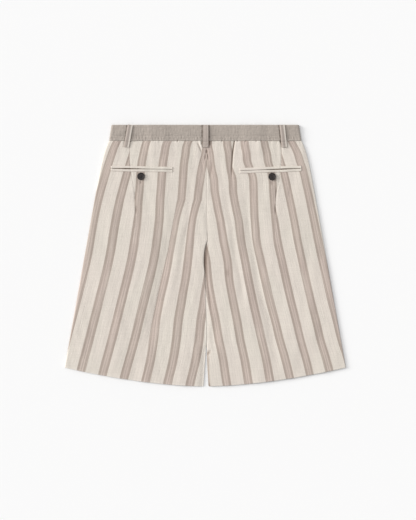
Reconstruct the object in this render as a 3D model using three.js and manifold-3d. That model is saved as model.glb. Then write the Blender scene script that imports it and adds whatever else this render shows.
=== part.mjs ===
// Bermuda shorts with an elasticated back waistband, lying flat, back side up.
// Millimetres. X runs across the garment, Y from the hem to the waist and Z up from the surface that
// it lies on. The origin is under the middle of the garment, on that surface.
// The two front panels and the front waistband lie flat at the bottom. The two back panels lie on them
// and wrap down round the sides and round the inner leg, so that each leg is a flattened tube that is
// open at the hem. The striped cloth of the back carries the welt pockets, buttons and belt loops.
import * as THREE from "three";
import { mergeVertices } from "three/addons/utils/BufferGeometryUtils.js";
import Module from "manifold-3d";

const wasm = await Module();
wasm.setup();

// Cloth and layers
const CLOTH = 1.2; // wall of the striped cloth
const SEAM_GAP = 0.3; // between pieces that are sewn together
const BACK_REST = 3.3; // middle of the back cloth's wall where it lies flat over the front
const PUFF = 1.0; // how far the back cloth rises in the middle of a leg
const FLOOR_GAP = 0.2; // under the edge of the back cloth where it wraps down

// Length and outline
const HALF_LENGTH = 262; // half of 524, from the waistband's top edge to the hem's lowest point
const BAND_HEIGHT = 32;
const BAND_FOOT = HALF_LENGTH - BAND_HEIGHT;
const BAND_TOP_HALF = 187.5;
const BAND_FOOT_HALF = 192.5;
const SIDE_SLOPE = 0.1785; // how far the side seam runs out for each millimetre down the leg
const HIP_ROUND = 7.9; // how far the hip's curve stays inside that straight line at the waistband
const HIP_FADE = 22;
const HEM_HALF = 280;
const HEM_RISE = 42; // from the hem's lowest point up to its outer corner
const HEM_POWER = 1.8;
const SEAM_TOP_X = 2.9; // centre back seam at the waistband, and at the crotch
const SEAM_FOOT_X = 3.8;
const CROTCH_Y = 32;

// Where the inner edge of each leg runs below the crotch
const INSEAM = [
  { y: 32, left: 3.6, right: 4.0 },
  { y: 10, left: -1.7, right: 1.4 },
  { y: -12, left: -2.9, right: 0.6 },
  { y: -38, left: -1.2, right: 0.4 },
  { y: -100, left: 0.8, right: 1.6 },
  { y: -140, left: 2.0, right: 2.8 },
  { y: -176, left: 2.2, right: 3.6 },
  { y: -198, left: 0.2, right: 4.1 },
  { y: -230, left: -2.3, right: 6.1 },
  { y: -262, left: -4.7, right: 8.3 },
];

// The largest folds of the back. A trough dips along its line. A step rises across its line, from the
// left of it to the right, as where cloth lies over itself. Rise is its height or depth at the most.
const FOLDS = [
  { leg: "left", form: "trough", topY: 140, footY: 10, topX: -31, midX: -49, footX: -62, width: 9, rise: 1 },
  { leg: "left", form: "step", topY: 118, footY: -222, topX: -57, midX: -92, footX: -122, width: 9, rise: 1 },
  { leg: "right", form: "step", topY: 240, footY: 92, topX: 57, midX: 54, footX: 67, width: 8, rise: 1.3 },
  { leg: "right", form: "trough", topY: 186, footY: -30, topX: 33, midX: 50, footX: 57, width: 9, rise: 1 },
  { leg: "right", form: "trough", topY: 126, footY: -196, topX: 81, midX: 98, footX: 140, width: 9, rise: 1 },
];

const FOLD_FADE = 0.25; // share of a fold's length over which it fades out at each end
const STEP_TAIL = 2.5; // a step dies away over this many of its widths

// The panels' grid
const EDGE_ANGLES = [90, 60, 30, 0].map((a) => THREE.MathUtils.degToRad(a));
const WRAP_WIDTH = 6; // how far in from the edge the back cloth starts to turn down
const FRONT_INSET = 2.6; // from the outline to the front panel, which lies inside that turn
const INNER_COLUMNS = 24;
const ROW_Y = [
  229.7, 222, 213.5, 203.5, 192, 180, 166, 150, 132, 114, 96, 78, 60, 44, 32, 22, 10, -6, -26, -50, -76,
  -104, -132, -160, -186, -210, -232, -250, -262,
];
const WRAP_FADE = 16; // how far below the crotch the inner edge is fully turned down
const CROTCH_LIFT = { left: 1.1, right: -0.3 }; // the left leg's inner edge lies higher
const CROTCH_LIFT_SPAN = 45; // along the inner leg
const CROTCH_LIFT_SHARE = 0.14; // across the leg, as a share of its width

// Waistband
const BAND_CLOTH = 3.0; // back band: elastic in two layers of cloth
const FRONT_BAND_CLOTH = 2.4;
const BAND_REST = FRONT_BAND_CLOTH + SEAM_GAP + BAND_CLOTH / 2;
const BAND_WRAP_WIDTH = 4.5;
const FRONT_BAND_INSET = 5.9; // from the outline to the front band, inside the turn of the back one
const BAND_GATHERS = 52;
const GATHER_SAMPLES = 4;
const GATHER_HEIGHT = 0.32;
// Rows up the back band: how much of the gather shows there, and how far the stitched channel dips
const BAND_ROWS = [
  { up: 0, gather: 0.3, dip: 0.5 },
  { up: 4, gather: 1.3, dip: 0 },
  { up: 10, gather: 0.5, dip: 0.45 },
  { up: 16, gather: 1, dip: 0 },
  { up: 28, gather: 0.8, dip: 0 },
  { up: 32, gather: 0.2, dip: 0.5 },
];

// Belt loops
const LOOP_WIDTH = 11.6;
const LOOP_LENGTH = 45;
const LOOP_CLOTH = 1.4;
const LOOP_CROWN = 0.25; // the middle of its width stands up by this
const BACK_LOOPS = [
  { name: "belt_loop_back_left", topX: -150.0, footX: -157.8 },
  { name: "belt_loop_back_centre", topX: 0.8, footX: 0.6 },
  { name: "belt_loop_back_right", topX: 153.0, footX: 159.8 },
];
// The height of a back loop over the waistband and panel that it crosses, along its length
const LOOP_STATIONS = [
  { down: 0.4, rise: 0.3 },
  { down: 4, rise: 0.5 },
  { down: 10, rise: 1.1 },
  { down: 18, rise: 1.3 },
  { down: 26, rise: 1.0 },
  { down: 31.5, rise: 0.5 },
  { down: 35, rise: 1.5 },
  { down: 39, rise: 0.7 },
  { down: 42, rise: 0.45 },
  { down: 45, rise: 0.45 },
];
const FRONT_LOOP_X = 96;
const FRONT_LOOPS = [
  { name: "belt_loop_front_left", x: -FRONT_LOOP_X },
  { name: "belt_loop_front_right", x: FRONT_LOOP_X },
];
const FRONT_LOOP_CLOTH = 1.2;
const FRONT_LOOP_LIFT = FRONT_LOOP_CLOTH + SEAM_GAP; // what lies on a front loop rises by this
const LIFT_FLAT = LOOP_WIDTH / 2 + 4; // half the width that rises in full
const LIFT_REACH = 9; // how far beside and below a front loop that rise fades out
const LIFT_FOOT = HALF_LENGTH - LOOP_LENGTH - 4; // the rise starts to fade here
const LIFT_STEPS = [0, 0, 0.25, 0.5, 0.75, 1].map((part, k) => (k ? LIFT_FLAT + LIFT_REACH * part : 0));

// Welt pockets: two lips with the slit between them
const LIP_HEIGHT = 4.6;
const LIP_CLOTH = 0.9;
const LIP_BEVEL = 0.2; // a lip's long edges are lower than its middle by this
const SLIT = 0.8;
const LIP_COLUMNS = 16;
const POCKETS = [
  { name: "left", x: -126.7, y: 173.8, length: 124, tilt: -0.96 },
  { name: "right", x: 130.5, y: 172.6, length: 124, tilt: 2.1 },
];

// Buttons, with four thread holes
const BUTTON_RADIUS = 7.6;
const BUTTON_HEIGHT = 2.8;
const BUTTON_DISH = 1.0;
const BUTTON_RIM = 1.7;
const BUTTON_SEAT = 0.3; // over the cloth
const BUTTON_SIDES = 24;
const BUTTON_HOLE_RADIUS = 0.8;
const BUTTON_HOLE_PITCH = 2.9;
const BUTTONS = [
  { name: "button_left", x: -128.3, y: 159.0 },
  { name: "button_right", x: 133.5, y: 158.4 },
];

const COLOURS = {
  cloth: 0xded6cb,
  stripe: 0xbfb1a7,
  band: 0xb1a69b,
  lip: 0xe4ddd2,
  button: 0x322b29,
};

const lerp = THREE.MathUtils.lerp;
const clamp01 = (t) => THREE.MathUtils.clamp(t, 0, 1);
const smooth = (t) => THREE.MathUtils.smoothstep(t, 0, 1);
const sign = { left: -1, right: 1 };

// The value of one column of a table at y, on a smooth curve through its rows, which run down in y
function tableAt(table, y, column) {
  let row = 0;
  while (row < table.length - 2 && y < table[row + 1].y) row++;
  const at = (k) => table[THREE.MathUtils.clamp(k, 0, table.length - 1)];
  const [before, a, b, after] = [at(row - 1), at(row), at(row + 1), at(row + 2)];
  const t = clamp01((y - a.y) / (b.y - a.y));
  const slope = (p, q) => ((q[column] - p[column]) / (q.y - p.y)) * (b.y - a.y);
  const [startSlope, endSlope] = [slope(before, b), slope(a, after)];
  const rise = b[column] - a[column];
  return (
    a[column] +
    startSlope * t +
    (3 * rise - 2 * startSlope - endSlope) * t * t +
    (startSlope + endSlope - 2 * rise) * t * t * t
  );
}

// Half the garment's width at y: a straight side seam, drawn in at the hip
function sideEdge(y) {
  const down = BAND_FOOT - y;
  return BAND_FOOT_HALF + HIP_ROUND + SIDE_SLOPE * down - HIP_ROUND * Math.exp(-down / HIP_FADE);
}

function hemY(x) {
  return -HALF_LENGTH + HEM_RISE * (Math.abs(x) / HEM_HALF) ** HEM_POWER;
}

// The edge of a leg's panel towards the middle: the centre seam, then the inner leg
function innerEdge(leg, y) {
  if (y < CROTCH_Y) return tableAt(INSEAM, y, leg);
  const seam = lerp(SEAM_FOOT_X, SEAM_TOP_X, (y - CROTCH_Y) / (BAND_FOOT - CROTCH_Y));
  return seam + (sign[leg] * SEAM_GAP) / 2;
}

// How far a row of the grid has come down at that place across the leg: level down to the crotch, and
// below it drawn up towards the outer corner, as the hem is
function rowY(row, x) {
  if (row > CROTCH_Y) return row;
  return lerp(CROTCH_Y, hemY(x), (CROTCH_Y - row) / (CROTCH_Y + HALF_LENGTH));
}

// How far what lies on a front belt loop is lifted by it
function loopLift(x, y) {
  const beside = Math.abs(Math.abs(x) - FRONT_LOOP_X) - LIFT_FLAT;
  const below = LIFT_FOOT - y;
  return FRONT_LOOP_LIFT * (1 - smooth(beside / LIFT_REACH)) * (1 - smooth(below / LIFT_REACH));
}

// Places across a front belt loop at which what lies on it has a column of points
const acrossLift = [...LIFT_STEPS.slice(1).map((step) => -step).reverse(), ...LIFT_STEPS];

// Height that one fold adds at a point
function foldHeight(fold, x, y) {
  const t = (fold.topY - y) / (fold.topY - fold.footY);
  if (t <= 0 || t >= 1) return 0;
  const bow = fold.midX - (fold.topX + fold.footX) / 2;
  const line = lerp(fold.topX, fold.footX, t) + bow * 4 * t * (1 - t);
  const fade = smooth(t / FOLD_FADE) * smooth((1 - t) / FOLD_FADE);
  const off = (x - line) / fold.width;
  if (fold.form === "trough") return -fold.rise * fade * Math.exp(-off * off);
  return fold.rise * fade * Math.tanh(2 * off) * Math.exp(-Math.abs(off) / STEP_TAIL);
}

// Height of the middle of the back cloth's wall, before it turns down at its edges
function backHeight(leg, x, y) {
  const inner = innerEdge(leg, y);
  const share = clamp01((x - inner) / (sign[leg] * sideEdge(y) - inner));
  const dome = PUFF * Math.sqrt(Math.sin(Math.PI * share));
  const folds = FOLDS.filter((f) => f.leg === leg).reduce((sum, f) => sum + foldHeight(f, x, y), 0);
  const toCrotch = (y - CROTCH_Y + CROTCH_LIFT_SPAN / 2) / CROTCH_LIFT_SPAN;
  const fromEdge = share / CROTCH_LIFT_SHARE;
  const crotch = CROTCH_LIFT[leg] * Math.exp(-toCrotch * toCrotch - fromEdge * fromEdge);
  return BACK_REST + dome + folds + crotch + loopLift(x, y);
}

// Joins two lines of points with a strip of triangles. Their counts may differ
function zip(triangles, a, b) {
  const [endA, endB] = [a.length - 1, b.length - 1];
  let [i, j] = [0, 0];
  while (i < endA || j < endB) {
    const isNextOnA = j === endB || (i < endA && (i + 1) / endA <= (j + 1) / endB);
    triangles.push([a[i], b[j], isNextOnA ? a[i + 1] : b[j + 1]]);
    if (isNextOnA) i++;
    else j++;
  }
}

// A closed wall between an outer and an inner grid of points. Both have the same count of columns
function wall(outer, inner) {
  const triangles = [];
  const last = (list) => list[list.length - 1];
  for (let j = 0; j < outer.length - 1; j++) zip(triangles, outer[j], outer[j + 1]);
  for (let j = 0; j < inner.length - 1; j++) zip(triangles, inner[j + 1], inner[j]);
  zip(triangles, inner[0], outer[0]);
  zip(triangles, last(outer), last(inner));
  zip(triangles, outer.map((row) => row[0]), inner.map((row) => row[0]));
  zip(triangles, inner.map(last), outer.map(last));
  return closedBody(triangles);
}

// A geometry of triangles, with its faces turned outwards as a whole
function closedBody(triangles) {
  const volume = triangles.reduce((sum, [a, b, c]) => sum + a.dot(new THREE.Vector3().crossVectors(b, c)), 0);
  const points = triangles.flatMap(([a, b, c]) => (volume > 0 ? [a, b, c] : [a, c, b]));
  return new THREE.BufferGeometry().setFromPoints(points);
}

// The mid-wall points of a leg's back panel, with the direction in which its wall faces outwards
function backGrid(leg) {
  const side = sign[leg];
  return ROW_Y.map((row) => {
    const turned = smooth((CROTCH_Y - row) / WRAP_FADE);
    const place = (share) => {
      const reach = (y) => lerp(innerEdge(leg, y), side * sideEdge(y), share);
      let y = row;
      for (let pass = 0; pass < 3; pass++) y = rowY(row, reach(y));
      return y;
    };
    const edge = (share, angles, wrap) => {
      const y = place(share);
      const inward = share ? -side : side;
      const edgeX = (share ? side * sideEdge(y) : innerEdge(leg, y)) + (inward * wrap * CLOTH) / 2;
      return angles.map((angle) => {
        const x = edgeX + inward * WRAP_WIDTH * (1 - Math.sin(angle));
        const rest = backHeight(leg, x, y);
        const turnDown = wrap * (rest - FLOOR_GAP) * (1 - Math.cos(angle));
        const faces = new THREE.Vector3(-inward * wrap * Math.sin(angle), 0, lerp(1, Math.cos(angle), wrap));
        return { point: new THREE.Vector3(x, y, rest - turnDown), faces: faces.normalize() };
      });
    };
    const [innerSide, outerSide] = [edge(0, EDGE_ANGLES, turned), edge(1, [...EDGE_ANGLES].reverse(), 1)];
    const [from, to] = [innerSide[innerSide.length - 1].point, outerSide[0].point];
    const middle = Array.from({ length: INNER_COLUMNS }, (_, k) => {
      const share = (k + 1) / (INNER_COLUMNS + 1);
      const x = lerp(from.x, to.x, share);
      const y = rowY(row, x);
      const tilt = (backHeight(leg, x + 1, y) - backHeight(leg, x - 1, y)) / 2;
      const faces = new THREE.Vector3(-tilt, 0, 1).normalize();
      return { point: new THREE.Vector3(x, y, backHeight(leg, x, y)), faces };
    });
    return [...innerSide, ...middle, ...outerSide];
  });
}

const offset = (grid, distance) =>
  grid.map((row) => row.map(({ point, faces }) => point.clone().addScaledVector(faces, distance)));

const backGrids = { left: backGrid("left"), right: backGrid("right") };
const backOuter = { left: offset(backGrids.left, CLOTH / 2), right: offset(backGrids.right, CLOTH / 2) };

// Height of the back cloth's outer face, as it is built, at a point
function clothTop(x, y) {
  for (const grid of Object.values(backOuter)) {
    for (let j = 0; j < grid.length - 1; j++) {
      for (let i = 0; i < grid[j].length - 1; i++) {
        const corners = [grid[j][i], grid[j + 1][i], grid[j][i + 1], grid[j + 1][i + 1]];
        for (const [a, b, c] of [corners.slice(0, 3), corners.slice(1)]) {
          const area = (b.x - a.x) * (c.y - a.y) - (c.x - a.x) * (b.y - a.y);
          const u = ((x - a.x) * (c.y - a.y) - (c.x - a.x) * (y - a.y)) / area;
          const v = ((b.x - a.x) * (y - a.y) - (x - a.x) * (b.y - a.y)) / area;
          if (u >= -1e-9 && v >= -1e-9 && u + v <= 1 + 1e-9) return a.z + u * (b.z - a.z) + v * (c.z - a.z);
        }
      }
    }
  }
  return BACK_REST + CLOTH / 2;
}

function backPanel(leg) {
  return wall(backOuter[leg], offset(backGrids[leg], -CLOTH / 2));
}

// A front panel lies flat, inside the turned-down edges of the back panel
function frontPanel(leg) {
  const side = sign[leg];
  const alongHem = [0, 0.1, 0.22, 0.34, 0.46, 0.58, 0.7, 0.8, 0.9, 1];
  const place = (row, share) => {
    const turned = smooth((CROTCH_Y - row + 2) / 3);
    let [x, y] = [0, row];
    for (let pass = 0; pass < 3; pass++) {
      const inner = innerEdge(leg, y) + side * FRONT_INSET * turned;
      x = lerp(inner, side * (sideEdge(y) - FRONT_INSET), share);
      y = rowY(row, x);
    }
    return [x, y];
  };
  const across = (row) => {
    if (row < LIFT_FOOT - LIFT_REACH) {
      const shares = row === ROW_Y[ROW_Y.length - 1] ? alongHem : [0, 1];
      return shares.map((share) => place(row, share));
    }
    const overLoop = acrossLift.map((step) => [side * (FRONT_LOOP_X + step), row]);
    return [place(row, 0), ...overLoop, place(row, 1)];
  };
  const level = (height) =>
    ROW_Y.map((row) => across(row).map(([x, y]) => new THREE.Vector3(x, y, height + loopLift(x, y))));
  return wall(level(CLOTH), level(0));
}

const bandHalf = (up) => lerp(BAND_FOOT_HALF, BAND_TOP_HALF, up / BAND_HEIGHT);

// The back waistband: a thick band that wraps down to the surface at both ends, gathered on its elastic
function backBand() {
  const columns = BAND_GATHERS * GATHER_SAMPLES;
  const ends = EDGE_ANGLES.slice(0, -1);
  const drop = BAND_REST - FLOOR_GAP;
  const line = ({ up, gather, dip }, face) => {
    const half = bandHalf(up) - BAND_CLOTH / 2;
    const y = BAND_FOOT + up;
    const end = (side, angle) => {
      const [across, upward] = [Math.sin(angle), Math.cos(angle)];
      const x = side * (half - BAND_WRAP_WIDTH * (1 - across) + (face * across * BAND_CLOTH) / 2);
      return new THREE.Vector3(x, y, BAND_REST - drop * (1 - upward) + (face * upward * BAND_CLOTH) / 2);
    };
    const flat = half - BAND_WRAP_WIDTH;
    const middle = Array.from({ length: columns + 1 }, (_, k) => {
      const x = lerp(-flat, flat, k / columns);
      const fade = smooth((k / columns) * 12) * smooth((1 - k / columns) * 12);
      const wave = GATHER_HEIGHT * fade * gather * Math.sin((k / GATHER_SAMPLES) * 2 * Math.PI);
      const outside = face > 0 ? wave - dip : 0;
      return new THREE.Vector3(x, y, BAND_REST + (face * BAND_CLOTH) / 2 + outside + loopLift(x, y));
    });
    return [...ends.map((a) => end(-1, a)), ...middle, ...ends.map((a) => end(1, a)).reverse()];
  };
  const inside = [BAND_ROWS[0], BAND_ROWS[BAND_ROWS.length - 1]];
  return wall(
    BAND_ROWS.map((row) => line(row, 1)),
    inside.map((row) => line(row, -1)),
  );
}

// The front waistband lies flat between the back band's ends, and rises over the front belt loops
function frontBand() {
  const inner = [-FRONT_LOOP_X, FRONT_LOOP_X].flatMap((x) => acrossLift.map((step) => x + step));
  const level = (height) =>
    [0, BAND_HEIGHT].map((up) => {
      const end = bandHalf(up) - FRONT_BAND_INSET;
      return [-end, ...inner, end].map((x) => {
        const y = BAND_FOOT + up;
        return new THREE.Vector3(x, y, height + loopLift(x, y));
      });
    });
  return wall(level(FRONT_BAND_CLOTH), level(0));
}

// A back belt loop: a strip that stands off the waistband in its middle and is sewn down at both ends
function backLoop({ topX, footX }) {
  const bandTop = BAND_REST + BAND_CLOTH / 2 + GATHER_HEIGHT;
  const line = ({ down, rise }, height) => {
    const y = HALF_LENGTH - down;
    const x = lerp(topX, footX, down / LOOP_LENGTH);
    const under = down < BAND_HEIGHT ? bandTop : clothTop(x, y);
    return [-1, -0.5, 0.5, 1].map((across) => {
      const crown = height > 0 ? LOOP_CROWN * (1 - across * across) : 0;
      return new THREE.Vector3(x + (across * LOOP_WIDTH) / 2, y, under + rise + height + crown);
    });
  };
  return wall(
    LOOP_STATIONS.map((station) => line(station, LOOP_CLOTH)),
    LOOP_STATIONS.map((station) => line(station, 0)),
  );
}

// A front belt loop lies flat under the front waistband
function frontLoop({ x }) {
  const outline = new THREE.Shape();
  const [half, corner] = [LOOP_WIDTH / 2, 1];
  const [low, high] = [HALF_LENGTH - LOOP_LENGTH, HALF_LENGTH - SEAM_GAP];
  outline.moveTo(x - half + corner, low);
  outline.absarc(x + half - corner, low + corner, corner, -Math.PI / 2, 0);
  outline.absarc(x + half - corner, high - corner, corner, 0, Math.PI / 2);
  outline.absarc(x - half + corner, high - corner, corner, Math.PI / 2, Math.PI);
  outline.absarc(x - half + corner, low + corner, corner, Math.PI, Math.PI * 1.5);
  const settings = { depth: FRONT_LOOP_CLOTH, bevelEnabled: false, curveSegments: 3 };
  return new THREE.ExtrudeGeometry(outline, settings);
}

// One lip of a welt pocket, laid on the back cloth. It runs from near the slit to far from it
function pocketLip(pocket, direction) {
  const tilt = THREE.MathUtils.degToRad(pocket.tilt);
  const rows = [SLIT / 2, SLIT / 2 + LIP_HEIGHT / 2, SLIT / 2 + LIP_HEIGHT];
  const level = (height) =>
    rows.map((away, k) =>
      Array.from({ length: LIP_COLUMNS + 1 }, (_, i) => {
        const along = lerp(-0.5, 0.5, i / LIP_COLUMNS) * pocket.length;
        const x = pocket.x + along * Math.cos(tilt) - direction * away * Math.sin(tilt);
        const y = pocket.y + along * Math.sin(tilt) + direction * away * Math.cos(tilt);
        const edge = height > 0 && k !== 1 ? -LIP_BEVEL : 0;
        return new THREE.Vector3(x, y, clothTop(x, y) + SEAM_GAP + height + edge);
      }),
    );
  return wall(level(LIP_CLOTH), level(0));
}

function solidOf(geometry) {
  const bare = geometry.clone();
  bare.deleteAttribute("normal");
  bare.deleteAttribute("uv");
  const merged = mergeVertices(bare, 1e-4);
  return new wasm.Manifold(
    new wasm.Mesh({
      numProp: 3,
      vertProperties: merged.attributes.position.array,
      triVerts: new Uint32Array(merged.index.array),
    }),
  );
}

// A turned button with a raised rim and four holes for its thread
function button() {
  const [r, h] = [BUTTON_RADIUS, BUTTON_HEIGHT];
  const profile = [
    [0, 0],
    [r - 1.6, 0],
    [r - 0.2, 0.9],
    [r, 1.8],
    [r - 0.7, h],
    [r - BUTTON_RIM, h],
    [r - BUTTON_RIM - 0.9, h - BUTTON_DISH],
    [0, h - BUTTON_DISH],
  ].map(([radius, height]) => new THREE.Vector2(radius, height));
  const turned = new THREE.LatheGeometry(profile, BUTTON_SIDES);
  turned.rotateX(Math.PI / 2);
  let solid = solidOf(turned);
  for (const across of [-1, 1]) {
    for (const along of [-1, 1]) {
      const drill = new THREE.CylinderGeometry(BUTTON_HOLE_RADIUS, BUTTON_HOLE_RADIUS, 4 * h, 10);
      drill.rotateX(Math.PI / 2);
      drill.translate((across * BUTTON_HOLE_PITCH) / 2, (along * BUTTON_HOLE_PITCH) / 2, 0);
      solid = solid.subtract(solidOf(drill));
    }
  }
  const mesh = solid.getMesh();
  const geometry = new THREE.BufferGeometry();
  geometry.setAttribute("position", new THREE.BufferAttribute(mesh.vertProperties, 3));
  geometry.setIndex(new THREE.BufferAttribute(mesh.triVerts, 1));
  return geometry;
}

// The height at which a button rests on the highest of the cloth under it
function buttonSeat({ x, y }) {
  const under = [0, 1, 2, 3, 4, 5, 6, 7].map((k) => {
    const turn = (k * Math.PI) / 4;
    return clothTop(x + BUTTON_RADIUS * Math.cos(turn), y + BUTTON_RADIUS * Math.sin(turn));
  });
  return Math.max(...under, clothTop(x, y)) + BUTTON_SEAT;
}

const shorts = new THREE.Group();

function add(name, geometry, colour, roughness) {
  const material = new THREE.MeshStandardMaterial({ color: colour, roughness, metalness: 0 });
  const mesh = new THREE.Mesh(geometry, material);
  mesh.name = name;
  shorts.add(mesh);
  return mesh;
}

for (const leg of ["left", "right"]) {
  add(`back_panel_${leg}`, backPanel(leg), COLOURS.cloth, 0.92);
  add(`front_panel_${leg}`, frontPanel(leg), COLOURS.cloth, 0.92);
}
add("waistband_back", backBand(), COLOURS.band, 0.9);
add("waistband_front", frontBand(), COLOURS.band, 0.9);
for (const loop of BACK_LOOPS) add(loop.name, backLoop(loop), COLOURS.stripe, 0.9);
for (const loop of FRONT_LOOPS) add(loop.name, frontLoop(loop), COLOURS.stripe, 0.9);
for (const pocket of POCKETS) {
  add(`pocket_lip_upper_${pocket.name}`, pocketLip(pocket, 1), COLOURS.lip, 0.92);
  add(`pocket_lip_lower_${pocket.name}`, pocketLip(pocket, -1), COLOURS.lip, 0.92);
}
for (const place of BUTTONS) {
  add(place.name, button(), COLOURS.button, 0.45).position.set(place.x, place.y, buttonSeat(place));
}

export default shorts;
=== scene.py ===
"""Bermuda shorts of striped linen cloth, lying flat with their back up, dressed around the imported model."""

import math

import bpy
import numpy as np
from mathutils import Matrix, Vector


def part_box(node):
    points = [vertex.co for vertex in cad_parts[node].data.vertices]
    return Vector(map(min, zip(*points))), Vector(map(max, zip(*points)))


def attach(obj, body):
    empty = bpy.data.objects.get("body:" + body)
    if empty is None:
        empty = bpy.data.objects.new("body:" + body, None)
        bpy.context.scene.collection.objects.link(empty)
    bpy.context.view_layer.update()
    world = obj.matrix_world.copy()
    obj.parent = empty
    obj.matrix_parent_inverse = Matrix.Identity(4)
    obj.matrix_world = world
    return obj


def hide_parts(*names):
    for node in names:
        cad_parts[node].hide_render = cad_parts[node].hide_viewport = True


bl_info = {
    "name": "Bermuda shorts",
    "version": (1, 0, 0),
    "blender": (4, 5, 0),
    "location": "View3D > Sidebar > Shorts",
    "description": "Builds the cloth, waistband, belt loops, pockets and buttons of a pair of shorts",
    "category": "Object",
}

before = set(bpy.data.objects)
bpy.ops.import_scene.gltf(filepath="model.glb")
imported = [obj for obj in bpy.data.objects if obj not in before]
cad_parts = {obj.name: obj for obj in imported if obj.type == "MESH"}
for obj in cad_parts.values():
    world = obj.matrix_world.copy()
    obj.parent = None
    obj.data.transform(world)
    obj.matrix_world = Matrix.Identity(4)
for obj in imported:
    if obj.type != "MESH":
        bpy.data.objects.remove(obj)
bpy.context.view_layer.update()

LEGS = {"left": -1, "right": 1}
BODY = "root"
MM = 0.001

# Outline in millimetres. X runs across, Y from the hem to the waist, and the surface is at Z 0
HALF_LENGTH = 262.0
BAND_HEIGHT = 32.0
BAND_FOOT = HALF_LENGTH - BAND_HEIGHT
BAND_TOP_HALF = 187.5
BAND_FOOT_HALF = 192.5
SIDE_SLOPE = 0.1785
HIP_ROUND = 7.9
HIP_FADE = 22.0
HEM_HALF = 280.0
HEM_FOOT = 259.4
HEM_RISE = 37.25
HEM_POWER = 1.71
SEAM_TOP_X = 2.9
SEAM_FOOT_X = 3.8
SEAM_GAP = 0.3
CROTCH_Y = 32.0

# Where the inner edge of each leg runs, from the hem up to the crotch
INSEAM_Y = (-262, -230, -198, -176, -140, -100, -38, -12, 10, 32)
INSEAM_X = {
    "left": (-3.7, -1.6, 0.4, 2.2, 2.0, 0.8, -1.2, -2.9, -1.7, 3.6),
    "right": (6.7, 4.6, 3.5, 3.5, 2.8, 1.6, 0.4, 0.6, 1.4, 4.0),
}

# Heights of the layers
FRONT_MID = 0.6
BACK_REST = 3.3
BACK_LOWEST = 2.1
PUFF = 1.0
EDGE_FLOOR = 0.25
WRAP_WIDTH = 2.2
OUTER_WRAP = 1.6
WRAP_FADE = 16.0
FRONT_INSET = 2.6
FRONT_LOOP_X = 96.0
LIFT_FLAT = 9.8
LIFT_REACH = 20.0
LIFT_FOOT = 213.0
LOOP_LIFT = 1.5
CROTCH_LIFT = {"left": 1.1, "right": -0.3}
PIT_DEPTH = 1.5
SLIT_DEPTH = 2.0
LOOP_DENT = 1.1
SEAM_DIP = 0.4

# How much darker painted shade makes the cloth at each kind of mark, and how much paler painted highlight
# makes it along edges
PAINTED_SHADE = {"step": 0.62, "seam": 0.1, "trough": 0.045, "loops": 0.8, "crease": 0.4, "under": 0.85}
PAINTED_HIGHLIGHT = {"left": 0.2, "right": 0.4, "hem": 0.15, "inner": 0.35, "inner foot": 0.25, "under": 0.3}
PALEST = -0.6

# Grids: rows of a back panel lie close down to this height, a front panel's grid is coarser by this factor
# and its first stripe lies so far in from the side seam, and this width sets the number of columns
FINE_FOOT = 146.0
FRONT_COARSE = 2.2
FRONT_FIRST = 9.0
PANEL_WIDTH = 270.0

# How deep the hem is turned up and how tight it bends, and what cloth keeps clear of the surface
HEM_DEPTH = 20.0
HEM_BEND = 0.62
CLEAR = 0.1

# Where the left leg's inner edge lies over the right leg's, how far the right one runs in under it and how
# low, and how low the left one lies below that
OVERLAP_FOOT = -187.0
UNDERLAP = 1.4
UNDER_LOW = 0.95
EDGE_LOW = 1.75

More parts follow.
